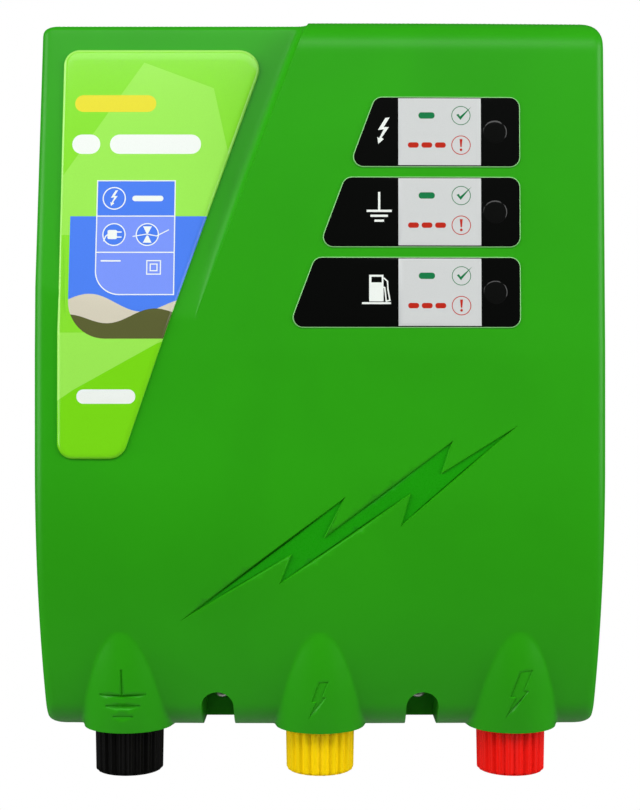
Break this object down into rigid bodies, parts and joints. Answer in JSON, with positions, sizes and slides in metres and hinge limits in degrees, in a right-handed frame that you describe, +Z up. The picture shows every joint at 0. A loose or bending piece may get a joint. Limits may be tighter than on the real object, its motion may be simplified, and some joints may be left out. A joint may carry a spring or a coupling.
{
  "type": "fence energizer",
  "caption": "Wall-hung electric fence energizer: moulded green housing with a slanted label, three indicator panels and coloured screw terminals under hoods.",
  "frame": {"origin": "centre of the flat back face, which rests on the wall", "axes": "+Z up, +X to the right seen from the front, front of the housing towards -Y"},
  "size_m": [0.233, 0.1109, 0.3162],
  "materials": {
    "housing_green": "semi-gloss moulded plastic, bright green",
    "label_lime": "clear-domed printed label, lime green and blue",
    "panel_black": "printed film, black with a light grey window",
    "lens_dark": "smoked clear plastic",
    "knob_black": "moulded, black",
    "knob_yellow": "moulded, yellow",
    "knob_red": "moulded, red",
    "black_plastic": "moulded, black",
    "grey_plastic": "moulded, grey",
    "capacitor_blue": "boxed film capacitor, blue",
    "circuit_board": "green solder mask",
    "seal_rubber": "soft black rubber",
    "steel": "zinc-plated",
    "brass": "machined",
    "aluminium": "extruded",
    "iron": "laminated core, varnished",
    "winding": "enamelled copper, taped",
    "clear_glass": "clear"
  },
  "bodies": {
    "housing": {"front_cover": "housing_green", "rear_shell": "housing_green", "housing_seal": "seal_rubber", "label_plate": "label_lime", "main_board": "circuit_board", "indicator_board": "circuit_board", "ribbon_cable": "grey_plastic", "heatsink": "aluminium", "thyristor": "black_plastic", "fuse_holder": "black_plastic", "mains_fuse": "clear_glass", "mains_terminal_block": "grey_plastic", "output_transformer_core": "iron", "output_transformer_winding": "winding", "supply_transformer_core": "iron", "supply_transformer_winding": "winding", "mains_gland_body": "black_plastic", "mains_gland_cap": "black_plastic", "mains_gland_locknut": "black_plastic", "left_cover_screw": "steel", "right_cover_screw": "steel", "storage_capacitor_1": "capacitor_blue", "board_screw_1": "steel", "storage_capacitor_2": "capacitor_blue", "board_screw_2": "steel", "storage_capacitor_3": "capacitor_blue", "board_screw_3": "steel", "storage_capacitor_4": "capacitor_blue", "board_screw_4": "steel", "fence_panel": "panel_black", "fence_light_pipe": "lens_dark", "fence_lamp": "clear_glass", "earth_panel": "panel_black", "earth_light_pipe": "lens_dark", "earth_lamp": "clear_glass", "supply_panel": "panel_black", "supply_light_pipe": "lens_dark", "supply_lamp": "clear_glass", "earth_stud": "steel", "earth_contact_plate": "brass", "earth_stud_nut": "steel", "earth_lead": "seal_rubber", "low_output_stud": "steel", "low_output_contact_plate": "brass", "low_output_stud_nut": "steel", "low_output_lead": "seal_rubber", "high_output_stud": "steel", "high_output_contact_plate": "brass", "high_output_stud_nut": "steel", "high_output_lead": "seal_rubber"},
    "earth_clamp": {"earth_clamp_washer": "steel"},
    "earth_knob": {"earth_knob": "knob_black", "earth_knob_insert": "brass"},
    "low_output_clamp": {"low_output_clamp_washer": "steel"},
    "low_output_knob": {"low_output_knob": "knob_yellow", "low_output_knob_insert": "brass"},
    "high_output_clamp": {"high_output_clamp_washer": "steel"},
    "high_output_knob": {"high_output_knob": "knob_red", "high_output_knob_insert": "brass"}
  },
  "joints": [
    {"name": "earth_clamp_slide", "type": "slide", "parent": "housing", "child": "earth_clamp", "axis": [0, 0, -1], "range_m": [-0.0026, 0.0051]},
    {"name": "earth_knob_turn", "type": "hinge", "parent": "earth_clamp", "child": "earth_knob", "pos_m": [-0.0824, -0.07, -0.15], "axis": [0, 0, -1], "range_deg": [-720, 1440]},
    {"name": "low_output_clamp_slide", "type": "slide", "parent": "housing", "child": "low_output_clamp", "axis": [0, 0, -1], "range_m": [-0.0026, 0.0051]},
    {"name": "low_output_knob_turn", "type": "hinge", "parent": "low_output_clamp", "child": "low_output_knob", "pos_m": [0, -0.07, -0.15], "axis": [0, 0, -1], "range_deg": [-720, 1440]},
    {"name": "high_output_clamp_slide", "type": "slide", "parent": "housing", "child": "high_output_clamp", "axis": [0, 0, -1], "range_m": [-0.0026, 0.0051]},
    {"name": "high_output_knob_turn", "type": "hinge", "parent": "high_output_clamp", "child": "high_output_knob", "pos_m": [0.0824, -0.07, -0.15], "axis": [0, 0, -1], "range_deg": [-720, 1440]}
  ],
  "couplings": [
    {"joint": "earth_clamp_slide", "follows": "earth_knob_turn", "m_per_rad": 0.00019894},
    {"joint": "low_output_clamp_slide", "follows": "low_output_knob_turn", "m_per_rad": 0.00019894},
    {"joint": "high_output_clamp_slide", "follows": "high_output_knob_turn", "m_per_rad": 0.00019894}
  ]
}
